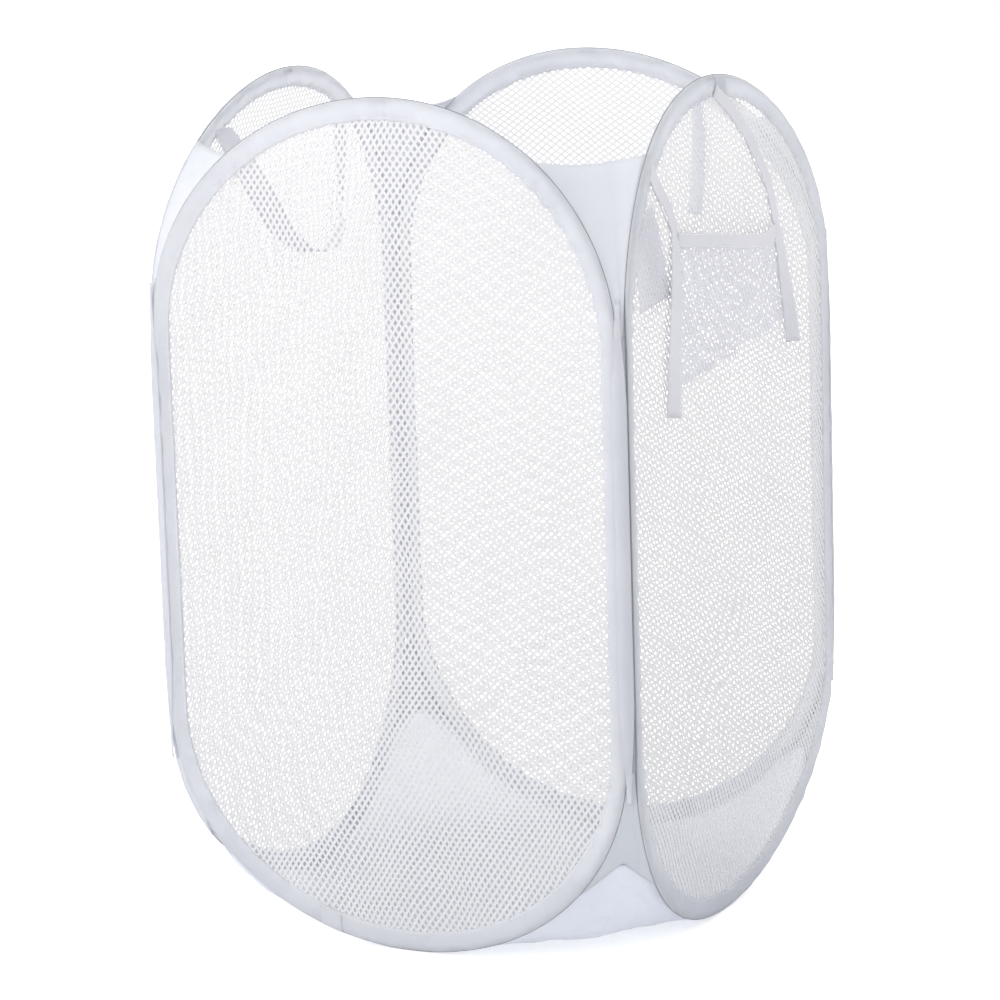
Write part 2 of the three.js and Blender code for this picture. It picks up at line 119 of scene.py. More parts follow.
def unit(vectors):
    """Rows of vectors at length one."""
    return vectors / np.linalg.norm(vectors, axis=1)[:, None]


def way_along(line):
    """The distance along a line of points, at each of them."""
    return np.concatenate([[0], np.cumsum(np.linalg.norm(np.diff(line, axis=0), axis=1))])


def way_over(grid, axis):
    """The distance over a grid of points along one of its axes, at each of them."""
    first = grid[:1] if axis == 0 else grid[:, :1]
    return np.linalg.norm(np.diff(grid, axis=axis, prepend=first), axis=2).cumsum(axis=axis)


def past_straight(z, start=MID_HEIGHT - HOOP_END):
    """How far heights lie past a distance from the middle height, either way."""
    return np.maximum(np.abs(np.asarray(z, float) - MID_HEIGHT) - start, 0)


def lean(z):
    """How far a panel leans in at a height."""
    return LEAN * (past_straight(z, LEAN_START) / (MID_HEIGHT - LEAN_START)) ** 2


def turned(points, quarter):
    """Points of the front panel, turned to another side."""
    points = np.asarray(points, float)
    angle = quarter * math.pi / 2
    c, s = round(math.cos(angle)), round(math.sin(angle))
    x, y, z = points[:, 0], points[:, 1], points[:, 2]
    return np.stack([c * x - s * y, s * x + c * y, z], 1)


def on_panel(u, z, depth, quarter=0):
    """Places on a panel as points in the row frame, in millimetres."""
    u, z, depth = np.broadcast_arrays(*(np.asarray(values, float) for values in (u, z, depth)))
    points = np.stack([u.ravel(), (depth + lean(z) - HALF_WIDTH).ravel(), z.ravel()], 1)
    return turned(points, quarter)


def hoop_rise(u):
    """How high the hoop's lower outline stands, u from its middle."""
    share = np.minimum(np.abs(u) / HOOP_HALF, 1)
    return HOOP_END * (1 - np.sqrt(1 - share ** 2))


def hoop_reach(z):
    """Half the hoop's width at a height."""
    return HOOP_HALF * np.sqrt(np.maximum(1 - (past_straight(z) / HOOP_END) ** 2, 0))


def hoop_share(u, z, inset):
    """From 0 in the hoop's middle to 1 at its outline moved in by an inset."""
    return (u / (HOOP_HALF - inset)) ** 2 + (past_straight(z) / (HOOP_END - inset)) ** 2


def hoop_line(count):
    """Stations evenly spaced along the hoop's outline: u, z, the outward normal and the outline's length."""
    ends = np.linspace(0, math.pi, 400)
    upper = np.stack([HOOP_HALF * np.cos(ends), HEIGHT - HOOP_END + HOOP_END * np.sin(ends)], 1)
    lower = np.stack([-HOOP_HALF * np.cos(ends), HOOP_END - HOOP_END * np.sin(ends)], 1)
    ring = np.concatenate([upper, lower, upper[:1]])
    way = way_along(ring)
    length = way[-1]
    top = way[len(ends) // 2]
    at = (top + np.linspace(0, length, count)) % length
    u, z = np.interp(at, way, ring[:, 0]), np.interp(at, way, ring[:, 1])
    nudge = 1.5
    ahead, behind = (at + nudge) % length, (at - nudge) % length
    du = np.interp(ahead, way, ring[:, 0]) - np.interp(behind, way, ring[:, 0])
    dz = np.interp(ahead, way, ring[:, 1]) - np.interp(behind, way, ring[:, 1])
    size = np.hypot(du, dz)
    return u, z, dz / size, -du / size, length


def ripple(points, wavelength, seed):
    """Smooth noise, mostly from -1 to 1, at points (n, k)."""
    waves = 10
    rng = np.random.default_rng(seed)
    total = np.zeros(len(points))
    for _ in range(waves):
        direction = rng.normal(size=points.shape[1])
        direction *= 2 * math.pi / (wavelength * rng.uniform(0.7, 1.5) * np.linalg.norm(direction))
        total += np.sin(points @ direction + rng.uniform(0, 2 * math.pi))
    return total / math.sqrt(waves)


def catmull_rom(points, count):
    """A centripetal Catmull-Rom curve through points, as count points and their tangents."""
    points = np.asarray(points, float)
    padded = np.vstack([2 * points[0] - points[1], points, 2 * points[-1] - points[-2]])
    out, tangents = [], []
    for way in np.linspace(0, 1, count):
        place = way * (len(points) - 1)
        i = min(int(place), len(points) - 2)
        w = place - i
        p0, p1, p2, p3 = padded[i:i + 4]
        d0, d1, d2 = (max(np.linalg.norm(b - a) ** 0.5, 1e-4) for a, b in ((p0, p1), (p1, p2), (p2, p3)))
        t1 = ((p1 - p0) / d0 - (p2 - p0) / (d0 + d1) + (p2 - p1) / d1) * d1
        t2 = ((p2 - p1) / d1 - (p3 - p1) / (d1 + d2) + (p3 - p2) / d2) * d1
        c2, c3 = -3 * p1 + 3 * p2 - 2 * t1 - t2, 2 * p1 - 2 * p2 + t1 + t2
        out.append(p1 + t1 * w + c2 * w ** 2 + c3 * w ** 3)
        tangents.append(t1 + 2 * c2 * w + 3 * c3 * w ** 2)
    return np.array(out), unit(np.array(tangents))


# Meshes

def build(name, points, faces, material, uv, smooth=True):
    """A mesh object from points in millimetres. uv is in millimetres too, one for each point."""
    mesh = bpy.data.meshes.new(name)
    faces = faces.tolist() if isinstance(faces, np.ndarray) else faces
    mesh.from_pydata((np.asarray(points, float) * MM).tolist(), [], faces)
    mesh.polygons.foreach_set("use_smooth", [smooth] * len(mesh.polygons))
    index = np.zeros(len(mesh.loops), np.int32)
    mesh.loops.foreach_get("vertex_index", index)
    layer = mesh.uv_layers.new(name="Cloth")
    layer.data.foreach_set("uv", np.asarray(uv, np.float32)[index].ravel())
    mesh.materials.append(material)
    mesh.validate()
    mesh.update()
    thing = bpy.data.objects.new(name, mesh)
    bpy.context.scene.collection.objects.link(thing)
    return thing


def grid_faces(rows, columns, wrap=False):
    """Quads over a grid of points stored row by row."""
    i, j = np.meshgrid(np.arange(rows - 1), np.arange(columns if wrap else columns - 1), indexing="ij")
    a = i * columns + j
    b = i * columns + (j + 1) % columns
    return np.stack([a, b, b + columns, a + columns], -1).reshape(-1, 4)


def end_caps(rows, around):
    """The two end faces of a closed run of rings."""
    return [list(range(around))[::-1], list(range((rows - 1) * around, rows * around))]


def normals_of(grid):
    """Unit normals of a (rows, columns, 3) grid of points."""
    normal = np.cross(np.gradient(grid, axis=0), np.gradient(grid, axis=1))
    return normal / np.maximum(np.linalg.norm(normal, axis=2), 1e-9)[:, :, None]


def shell(name, grid, thickness, material, uv):
    """A closed thin sheet about a (rows, columns, 3) grid. thickness is a number or one for each row."""
    rows, columns = grid.shape[:2]
    count = rows * columns
    half = np.broadcast_to(np.asarray(thickness, float) / 2, (rows, columns))[:, :, None]
    normal = normals_of(grid)
    points = np.concatenate([(grid + normal * half).reshape(-1, 3), (grid - normal * half).reshape(-1, 3)])
    front = grid_faces(rows, columns)
    under = front[:, ::-1] + count
    index = np.arange(count).reshape(rows, columns)
    rim = np.concatenate([index[0, :], index[1:, -1], index[-1, -2::-1], index[-2::-1, 0]])
    skirt = np.stack([rim[:-1], rim[:-1] + count, rim[1:] + count, rim[1:]], 1)
    faces = np.concatenate([front, under, skirt])
    return build(name, points, faces, material, np.tile(uv.reshape(-1, 2), (2, 1)))


def tube(name, line, radius, sides, material, closed=True):
    """A round cord along a line of points. radius is a number or one for each point."""
    line = np.asarray(line, float)
    count = len(line)
    ahead = np.roll(line, -1, 0) - np.roll(line, 1, 0)
    if not closed:
        ahead[0], ahead[-1] = line[1] - line[0], line[-1] - line[-2]
    ahead = unit(ahead)
    # no cord here runs along this direction
    reference = np.array([0.31, 0.44, 0.84])
    side = unit(np.cross(ahead, reference))
    up = np.cross(side, ahead)
    angle = np.arange(sides) * 2 * math.pi / sides
    radius = np.broadcast_to(np.asarray(radius, float), count)
    ring = side[:, None] * np.cos(angle)[:, None] + up[:, None] * np.sin(angle)[:, None]
    ring = line[:, None] + radius[:, None, None] * ring
    faces = grid_faces(count, sides, wrap=True).tolist()
    if closed:
        last = (count - 1) * sides
        faces += [[last + j, last + (j + 1) % sides, (j + 1) % sides, j] for j in range(sides)]
    else:
        faces += end_caps(count, sides)
    uv = np.stack([np.repeat(way_along(line), sides), (radius[:, None] * angle).ravel()], 1)
    return build(name, ring.reshape(-1, 3), faces, material, uv)


def ribbon(name, centre, across, through, width, thickness, material):
    """A flat tape along centre points, with rounded edges."""
    lower = [(-0.5, -0.25), (-0.47, -0.5), (-0.25, -0.5), (0, -0.5), (0.25, -0.5), (0.47, -0.5), (0.5, -0.25)]
    upper = [(-a, -b) for a, b in lower]
    section = [(a * width, b * thickness) for a, b in lower + upper]
    rings = [[c + s * a + n * b for a, b in section] for c, s, n in zip(centre, across, through)]
    count, around = len(centre), len(section)
    faces = grid_faces(count, around, wrap=True).tolist() + end_caps(count, around)
    uv = [(w, a) for w in way_along(centre) for a, _ in section]
    return build(name, np.concatenate(rings), faces, material, uv)


def stitches(lines, pitch=3.4, length=2.5, width=0.55, height=0.32):
    """Points and faces of running stitches along lines of (points, normals).

    Each stitch has two pointed ends, and two low triangles between them.
    """
    look_ahead = 0.4
    points, faces = [], []
    for line, normals in lines:
        way = way_along(line)
        for at in np.arange(pitch / 2, way[-1] - pitch / 2, pitch):
            middle, normal, ahead = (
                np.array([np.interp(place, way, source[:, axis]) for axis in range(3)])
                for place, source in ((at, line), (at, normals), (at + look_ahead, line))
            )
            along = ahead - middle
            along /= np.linalg.norm(along)
            normal = normal / np.linalg.norm(normal)
            side = np.cross(normal, along)
            k = len(points)
            for a in (-0.5, 0.5):
                points.append(middle + along * length * a)
            for a in (-0.28, 0.28):
                points.append(middle + along * length * a + side * width / 2)
                points.append(middle + along * length * a + normal * height)
                points.append(middle + along * length * a - side * width / 2)
            low, high = [k + 2, k + 3, k + 4], [k + 5, k + 6, k + 7]
            faces += [[k, low[1], low[0]], [k, low[2], low[1]]]
            faces += [[k + 1, high[0], high[1]], [k + 1, high[1], high[2]]]
            faces += [[low[0], low[1], high[1], high[0]], [low[1], low[2], high[2], high[1]]]
    return np.array(points), faces


def quad_area(u, z, faces):
    """The flat area of quads over places."""
    quad_u, quad_z = u[faces], z[faces]
    twice = quad_u * np.roll(quad_z, -1, 1) - quad_z * np.roll(quad_u, -1, 1)
    return 0.5 * np.abs(np.sum(twice, axis=1)).sum()


def net_faces(place):
    """Quads of a net's crossings, and of the strands from each to its right, upwards and downwards."""
    right, top, left, bottom = 0, 1, 2, 3
    faces = [[4 * n, 4 * n + 1, 4 * n + 2, 4 * n + 3] for n in range(len(place))]
    for (a, b), n in place.items():
        m = place.get((a + 1, b + 1))
        if m is not None:
            faces.append([4 * n + right, 4 * m + bottom, 4 * m + left, 4 * n + top])
        m = place.get((a + 1, b - 1))
        if m is not None:
            faces.append([4 * n + bottom, 4 * m + left, 4 * m + top, 4 * n + right])
    return np.array(faces)


def net(inside, lift, cell, strand, centre, quarter, bounds, warp):
    """A knitted net: crossings joined by strands. Returns points, faces, uv and the net's own flat area."""
    width, height = cell
    slant = math.hypot(width, height)
    half_wide, half_high = strand * slant / height / 2, strand * slant / width / 2
    (low_u, high_u), (low_z, high_z) = bounds
    i_max = int((high_u - low_u) / width) + 3
    j_max = int((high_z - low_z) / height) + 3
    i, j = np.meshgrid(np.arange(-i_max, i_max + 1), np.arange(-j_max, j_max + 1), indexing="ij")
    even = (i + j) % 2 == 0
    i, j = i[even], j[even]
    u, z = centre[0] + i * width / 2, centre[1] + j * height / 2
    keep = inside(u, z)
    i, j, u, z = i[keep], j[keep], u[keep], z[keep]
    faces = net_faces({key: n for n, key in enumerate(zip(i.tolist(), j.tolist()))})
    du, dz = warp(u, z)
    u, z = u + du, z + dz
    corners = ((half_wide, 0), (0, half_high), (-half_wide, 0), (0, -half_high))
    cu = np.stack([u + a for a, _ in corners], 1).ravel()
    cz = np.stack([z + b for _, b in corners], 1).ravel()
    tilt = 0.28
    knot = np.tile([0.0, -tilt, 0.0, tilt], len(u))
    points = on_panel(cu, cz, lift(cu, cz) + knot, quarter)
    return points, faces, np.stack([cu, cz], 1), quad_area(cu, cz, faces)


# Materials

def node_maker(owner):
    """A function that adds nodes to a material or a world, each with its settings and inputs."""
    owner.use_nodes = True
    tree = owner.node_tree
    tree.nodes.clear()

    def node(kind, inputs=None, **settings):
        made = tree.nodes.new(kind)
        for key, value in settings.items():
            setattr(made, key, value)
        for key, value in (inputs or {}).items():
            socket = made.inputs[key]
            if isinstance(value, bpy.types.NodeSocket):
                tree.links.new(value, socket)
            else:
                socket.default_value = value
        return made

    return node


def math_node(node, operation, a, b):
    """A sum or product of two values."""
    return node("ShaderNodeMath", {0: a, 1: b}, operation=operation).outputs[0]


def noise(node, place, scale, detail, **more):
    """Noise over places."""
    inputs = {"Vector": place, "Scale": scale, "Detail": detail, **more}
    return node("ShaderNodeTexNoise", inputs).outputs["Fac"]


def ranged(node, value, low, high, start=0.0, end=1.0):
    """A value between start and end, moved to between low and high."""
    inputs = {"Value": value, "From Min": start, "From Max": end, "To Min": low, "To Max": high}
    return node("ShaderNodeMapRange", inputs).outputs[0]


def scaled(node, colour, factor):
    """A colour times a factor."""
    return node("ShaderNodeVectorMath", {0: colour, "Scale": factor}, operation="SCALE").outputs[0]


def plain_weave(node, pitch):
    """Threads that cross at a pitch, over the piece's own cloth map."""
    cloth_map = node("ShaderNodeUVMap", uv_map="Cloth").outputs[0]
    inputs = {"Vector": cloth_map, "Scale": math.tau / (20 * pitch), "Distortion": 0.6, "Detail": 1.0}
    waves = [node("ShaderNodeTexWave", inputs, bands_direction=axis) for axis in ("X", "Y")]
    return math_node(node, "MULTIPLY", waves[0].outputs["Fac"], waves[1].outputs["Fac"])


def cloth(name, colour, shade, pitch, thin=0.0, bump=0.35, crease=0.0):
    """Woven cloth: a plain weave at its pitch in millimetres, soft creases, and a tone that wanders to shade.

    thin is the share of the light that it lets through.
    """
    material = bpy.data.materials.new(name)
    node = node_maker(material)
    place = node("ShaderNodeTexCoord").outputs["Object"]
    weave = plain_weave(node, pitch)
    wander = noise(node, place, 9.0, 5.0, Roughness=0.6)
    fibre = noise(node, place, 900.0, 2.0)
    creases = noise(node, place, 26.0, 3.0, Distortion=0.7)
    tone = ranged(node, wander, 0.0, 1.0, 0.35, 0.7)
    mixed = node("ShaderNodeMix", {"Factor": tone, "A": (*colour, 1), "B": (*shade, 1)}, data_type="RGBA")
    toned = scaled(node, mixed.outputs["Result"], ranged(node, weave, 0.93, 1.03))
    threads, fluff = math_node(node, "MULTIPLY", weave, 0.6), math_node(node, "MULTIPLY", fibre, 0.4)
    relief = math_node(node, "ADD", threads, fluff)
    fine = node("ShaderNodeBump", {"Height": relief, "Strength": bump, "Distance": 0.0003}).outputs[0]
    inputs = {"Height": creases, "Strength": crease, "Distance": 0.004, "Normal": fine}
    broad = node("ShaderNodeBump", inputs).outputs[0]
    body = node(
        "ShaderNodeBsdfPrincipled",
        {
            "Base Color": toned,
            "Roughness": ranged(node, fibre, 0.74, 0.92),
            "Sheen Weight": 0.25,
            "Sheen Roughness": 0.5,
            "Specular IOR Level": 0.25,
            "Normal": broad,
        },
    )
    through = node("ShaderNodeBsdfTranslucent", {"Color": toned, "Normal": broad})
    both = node("ShaderNodeMixShader", {0: thin, 1: body.outputs[0], 2: through.outputs[0]})
    node("ShaderNodeOutputMaterial", {"Surface": both.outputs[0]})
    return material


def steel(name, colour, roughness, scale):
    """Drawn steel: fine lines and small stains."""
    material = bpy.data.materials.new(name)
    node = node_maker(material)
    place = node("ShaderNodeTexCoord").outputs["Object"]
    lines = noise(node, place, scale, 6.0)
    stain = noise(node, place, 40.0, 3.0)
    toned = scaled(node, colour, ranged(node, stain, 0.75, 1.0, 0.4, 0.7))
    rough = ranged(node, lines, roughness - 0.1, roughness + 0.15)
    relief = node("ShaderNodeBump", {"Height": lines, "Strength": 0.15, "Distance": 0.0002})
    body = node(
        "ShaderNodeBsdfPrincipled",
        {"Base Color": toned, "Metallic": 1.0, "Roughness": rough, "Normal": relief.outputs[0]},
    )
    node("ShaderNodeOutputMaterial", {"Surface": body.outputs[0]})
    return material


band_cloth = cloth("sleeve_cloth", (0.90, 0.905, 0.935), (0.85, 0.86, 0.90), 0.45, thin=0.6, crease=0.9)
sheet_cloth = cloth("sheet_cloth", (0.81, 0.84, 0.91), (0.75, 0.78, 0.86), 0.5, thin=0.45, crease=1.0)
gusset_cloth = cloth("gusset_cloth", (0.85, 0.86, 0.895), (0.81, 0.82, 0.86), 0.5, thin=0.45, crease=0.6)
# the lower gussets wear the gusset cloth made darker: painted shade for their place low in the corners
foot_painted_shade_cloth = cloth("foot_gusset_painted_shade_cloth", (0.74, 0.76, 0.80), (0.68, 0.705, 0.75), 0.5, thin=0.3, crease=0.6)
net_yarn = cloth("net_yarn", (0.75, 0.745, 0.75), (0.72, 0.715, 0.72), 0.4, thin=0.4, bump=0.3)
pocket_yarn = cloth("pocket_yarn", (0.85, 0.85, 0.90), (0.81, 0.81, 0.87), 0.4, thin=0.6, bump=0.3)
webbing = cloth(
    "webbing_cloth", (0.77, 0.765, 0.81), (0.71, 0.705, 0.75), 1.1, thin=0.15, bump=0.8, crease=0.15
)
strap_cloth = cloth(
    "strap_cloth", (0.90, 0.905, 0.96), (0.86, 0.87, 0.93), 0.9, thin=0.6, bump=0.6, crease=0.2
)
handle_cloth = cloth(
    "handle_cloth", (0.88, 0.88, 0.92), (0.82, 0.82, 0.87), 1.1, thin=0.35, bump=0.8, crease=0.15
)
# near-black thread that also paints the shade along the hoops' edges and the shadow in the front seam's gap
dark_thread_and_shade = cloth("edge_thread_and_painted_shade", (0.17, 0.19, 0.21), (0.26, 0.28, 0.30), 0.5, crease=0.1)
white_thread = cloth("stitch_thread", (0.84, 0.85, 0.89), (0.78, 0.79, 0.84), 0.3, crease=0.1)
wire_steel = steel("wire_steel", (0.27, 0.28, 0.30), 0.35, 700.0)
ferrule_steel = steel("ferrule_steel", (0.38, 0.39, 0.41), 0.3, 300.0)


def sew(name, body, lines, flat=(0, 1), **size):
    """Stitches along lines of (points, normals), on a body. flat is the two axes of their cloth map."""
    points, faces = stitches(lines, **size)
    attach(build(name, points, faces, white_thread, points[:, flat], smooth=False), body)


# Hoops

hoop_u, hoop_z, out_u, out_z, hoop_length = hoop_line(HOOP_STATIONS)
hoop_way = np.linspace(0, hoop_length, HOOP_STATIONS)


def sleeve_inset(inset, z):
    """An inset across the sleeve, whose leaves are narrower beside the straight sides than round the ends."""
    side_share, end_share = 0.56, 0.78
    narrow = side_share + (end_share - side_share) * eased(past_straight(z, 110) / 130)
    return np.minimum(inset, TUNNEL_WIDTH) + np.maximum(inset - TUNNEL_WIDTH, 0) * narrow


def sleeve_waves(quarter):
    """The sideways shift of the sleeve's open edge along the hoop, its puckers and its puffs."""
    curved = np.where(past_straight(hoop_z) > 0, 1.0, 0.35)
    way = hoop_way[:, None]
    seed = 11 + quarter
    pucker = ripple(way, 15, seed) + 0.6 * ripple(way, 6.5, seed + 50)
    shift = curved * (0.75 * pucker + 0.3 * ripple(way, 70, seed + 100))
    return shift, pucker, ripple(way, 24, seed + 150)


def hoop_points(inset, depth, quarter):
    """The hoop's outline moved in by an inset, at a depth."""
    return on_panel(hoop_u - out_u * inset, hoop_z - out_z * inset, depth, quarter)


def sleeve_tape(side, quarter):
    """A folded tape round the wire: a rounded tunnel, and two leaves sewn on the net's edge."""
    shift, pucker, puff = sleeve_waves(quarter)
    ring = [(inset, -half) for inset, half in SECTION] + [*SECTION[:0:-1]]
    rows = []
    for inset, half in ring:
        share = inset / SLEEVE_WIDTH
        reach = sleeve_inset(inset, hoop_z) - 0.2 * share * pucker
        rows.append(hoop_points(reach, SLEEVE_HALF + half * (1 + 0.12 * puff) + shift * share, quarter))
    across = way_along(np.array(ring))
    uv = np.stack(np.meshgrid(hoop_way, across, indexing="ij"), -1).reshape(-1, 2)
    faces = grid_faces(HOOP_STATIONS, len(ring), wrap=True)
    thing = build(side + "_sleeve_cloth", np.stack(rows, 1).reshape(-1, 3), faces, band_cloth, uv)
    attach(thing, side + "_panel")
    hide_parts(side + "_sleeve")


def edge_cord_and_shade(side, quarter):
    """The dark cord on the hoop's outline: partly the edge thread, and partly painted shade in the fold of
    the fabric round the wire.

    Beside the front's seam the right hoop's cord is thicker, and lies out past the binding's open edge, where
    it paints the shadow in the gap.
    """
    beside = (hoop_u < 0) * (side == "right")
    half_length, fade = 178, 40
    straight = np.clip((half_length - np.abs(hoop_z - MID_HEIGHT)) / fade, 0, 1) * beside
    # beside the front's seam the cord is made thicker and set out past the binding, to paint the gap's shadow
    proud, outwards, thicker = 0.05 + 0.6 * straight, 1.9 * straight, 0.45 * straight
    line = hoop_points(-proud, SLEEVE_HALF - outwards, quarter)
    cord = tube(side + "_edge_cord_and_shade", line[:-1], 0.28 + thicker[:-1], 6, dark_thread_and_shade)
    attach(cord, side + "_panel")


def sleeve_stitches(side, quarter):
    """A row of stitches on each face of the sleeve, near its open edge."""
    shift = sleeve_waves(quarter)[0] * STITCH_INSET / SLEEVE_WIDTH
    inset = sleeve_inset(STITCH_INSET, hoop_z)
    lines = []
    for face in (-1.0, 1.0):
        line = hoop_points(inset, SLEEVE_HALF + face * 0.98 + shift, quarter)
        lines.append((line, turned(np.tile([0.0, face, 0.0], (HOOP_STATIONS, 1)), quarter)))
    sew(side + "_sleeve_stitches", side + "_panel", lines)


def overlap_tab(side, quarter, middle, at_top):
    """Where the sleeve's ends overlap, at a place along the hoop's top or foot."""
    half_length = 8
    insets, halves = np.array(SECTION[1:-1]).T
    insets = sleeve_inset(insets, HEIGHT)
    u, inset = np.meshgrid(middle + np.linspace(-half_length, half_length, 9), insets, indexing="ij")
    rise = hoop_rise(u) + inset
    z = HEIGHT - rise if at_top else rise
    for face, word in ((-1, "outer"), (1, "inner")):
        grid = on_panel(u, z, SLEEVE_HALF + face * (halves + 0.25), quarter).reshape(*u.shape, 3)
        thing = shell(f"{side}_sleeve_overlap_{word}", grid, 0.35, band_cloth, np.stack([u, inset], -1))
        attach(thing, side + "_panel")


def panel_net(side, quarter, cell):
    """The panel's knitted net. Its edge lies between the sleeve's leaves."""
    seed = 31 + quarter

    def warp(u, z):
        p = np.stack([u, z], 1)
        return 0.8 * ripple(p, 60, seed) + 0.12 * ripple(p, 9, seed + 1), 1.1 * ripple(p, 80, seed + 2)

    def lift(u, z):
        p = np.stack([u, z], 1)
        held_rim = 14
        free = np.clip(1 - hoop_share(u, z, held_rim), 0, 1) ** 0.5
        return SLEEVE_HALF + free * (1.3 * ripple(p, 120, seed + 3) + 0.35 * ripple(p, 34, seed + 4))

    def inside(u, z):
        return hoop_share(u, z, NET_INSET) < 1

    bounds = ((-HOOP_HALF, HOOP_HALF), (0, HEIGHT))
    points, faces, uv, area = net(inside, lift, cell, NET_STRAND, (0, MID_HEIGHT), quarter, bounds, warp)
    thing = build(side + "_net", points, faces, net_yarn, uv)
    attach(thing, side + "_panel")
    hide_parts(side + "_mesh")


for quarter, side in enumerate(SIDES):
    sleeve_tape(side, quarter)
    edge_cord_and_shade(side, quarter)
    sleeve_stitches(side, quarter)
    overlap_tab(side, quarter, 14.0 if side == "right" else -60.0, side == "right")
    panel_net(side, quarter, NET_CELL[::-1] if side == "back" else NET_CELL)
    # the frame's own wire and ferrule stay, inside the sleeve
    for part, metal in (("wire", wire_steel), ("ferrule", ferrule_steel)):
        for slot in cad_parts[f"{side}_hoop_{part}"].material_slots:
            slot.material = metal


# Corners

def blend_across(thing, quarter, place, reach, z):
    """Bakes a piece's placing into its mesh. A middle in the corner and a reach either way are worked out
    from place, reach and z, but not used.
    """
    middle = turned([[place, -place, z]], quarter)[0] * MM
    way = turned([[reach, reach, 0.0]], quarter)[0] / math.sqrt(2) * MM
    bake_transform(thing)


def fold_flat(thing, quarter):
    """Gives a piece its own copy of its mesh. The panel's outward axis is worked out but not used."""
    axis = turned([[0.0, -1.0, 0.0]], quarter)[0]
    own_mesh(thing)


def gusset_ends(quarter, lower):
    """Heights of a gusset's point, tucked behind the seam, and of its free edge.

    Those of a lower one are counted down from the hamper's top.
    """
    tuck = 0 if CORNERS[quarter] == OPEN_CORNER else GUSSET_TUCK
    if lower:
        return HEIGHT - FOOT_GUSSET_TOP - tuck, HEIGHT - FOOT_GUSSET_LOW
    return GUSSET_FOOT - tuck, GUSSET_TOP


def gusset_grid(quarter, shares, lower):
    """The corner's V of thin cloth between two hoops' ends, for shares across it from 0 to 1.

    An upper one hangs in a low curve between the shoulders, and a lower one's free edge is arched.
    """
    narrow, wide = gusset_ends(quarter, lower)
    up, s = np.meshgrid(np.linspace(0, 1, GUSSET_ROWS), shares, indexing="ij")
    bow = 4 * s * (1 - s)
    arch = 20.0 if lower else 0.0
    z = narrow + (wide - narrow) * up + arch * (1 - bow) ** 0.8 * up ** 2
    edge = hoop_reach(z) + 0.2
    face = HALF_WIDTH - SLEEVE_HALF - lean(z)
    inward = np.array([-1.0, 1.0, 0.0]) / math.sqrt(2)
    sag = (3.0 if lower else 7.5) * up * bow
    dip = 5.0 * up ** 3 * bow
    height = HEIGHT - z if lower else z - dip
    grid = np.stack([edge * (1 - s) + face * s, -face * (1 - s) - edge * s, height], -1)
    grid = grid + sag[:, :, None] * inward
    flat = grid.reshape(-1, 3)
    crinkle = ripple(flat, 26, 71 + quarter) * 0.7 + ripple(flat, 11, 91 + quarter) * 0.3
    pleat = 2.2 * np.exp(-((s - 0.76) / 0.07) ** 2) - 1.4 * np.exp(-((s - 0.88) / 0.05) ** 2)
    push = (crinkle.reshape(s.shape) + pleat) * bow * up * (0.6 if lower else 1.2)
    grid = grid + push[:, :, None] * inward
    return turned(grid.reshape(-1, 3), quarter).reshape(grid.shape)


def gusset_piece(name, quarter, shares, lower):
    """A gusset's cloth with a hem at its free edge, as a hung sheet."""
    grid = gusset_grid(quarter, shares, lower)
    hem = 6 if lower else 9
    narrow, wide = gusset_ends(quarter, lower)
    hemmed = np.linspace(narrow, wide, GUSSET_ROWS) > wide - hem
    across, along = way_over(grid, 1), way_over(grid, 0)
    # a lower gusset takes the darker cloth, whose colour holds painted shade
    thing = shell(
        name, grid, np.where(hemmed, 1.3, 0.45)[:, None], foot_painted_shade_cloth if lower else gusset_cloth,
        np.stack([across, along], -1),
    )
    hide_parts(("foot" if lower else "corner") + "_gusset_" + CORNERS[quarter])
    return thing


def gusset(quarter, lower):
    """A corner's gusset. At the open corner it is two halves, one on each panel."""
    name = ("foot_painted_shade_cloth_" if lower else "gusset_cloth_") + CORNERS[quarter]
    if CORNERS[quarter] != OPEN_CORNER:
        thing = gusset_piece(name, quarter, np.linspace(0, 1, 25), lower)
        blend_across(thing, quarter, 160.0, 18.0, 100.0 if lower else 520.0)
        return
    for panel, shares in ((quarter, np.linspace(0, 0.5, 13)), (quarter + 1, np.linspace(0.5, 1, 13))):
        thing = gusset_piece(f"{name}_{SIDES[panel]}_half", quarter, shares, lower)
        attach(thing, SIDES[panel] + "_panel")
        fold_flat(thing, panel)


def seam_part(name, quarter, turns):
    """The binding outside a corner, for turns from 0 at one hoop to 1 at the other.

    It laps over both hoops' edges, but the front's seam leaves the right hoop's edge open.
    """
    z, t = np.meshgrid(np.linspace(SEAM_FOOT - 3, SEAM_TOP + 3, 115), turns, indexing="ij")
    centre, radius, swell, fade = 174.6, 8.0, 1.75, 70
    span = (0.66 if CORNERS[quarter] == "front_right" else 1) * math.pi / 2
    # both ends are drawn in, narrower and closer to the corner
    full = eased(np.minimum(z - z[0, 0], z[-1, 0] - z) / fade)
    spread = 1 if CORNERS[quarter] == OPEN_CORNER else 0.35 + 0.65 * full
    wave = 0.12 * np.sin(z * 1.9) + 0.1 * np.sin(z * 0.31 + quarter)
    reach = radius + swell * full + wave * np.sin(math.pi * t)
    angle = -math.pi / 2 + (0.5 + (t - 0.5) * spread) * span
    grid = np.stack([centre + reach * np.cos(angle), -centre + reach * np.sin(angle), z], -1)
    grid = turned(grid.reshape(-1, 3), quarter).reshape(grid.shape)
    thing = shell(name, grid, 0.5, band_cloth, np.stack([t * 8, z], -1))
    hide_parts("corner_seam_" + CORNERS[quarter])
    return thing


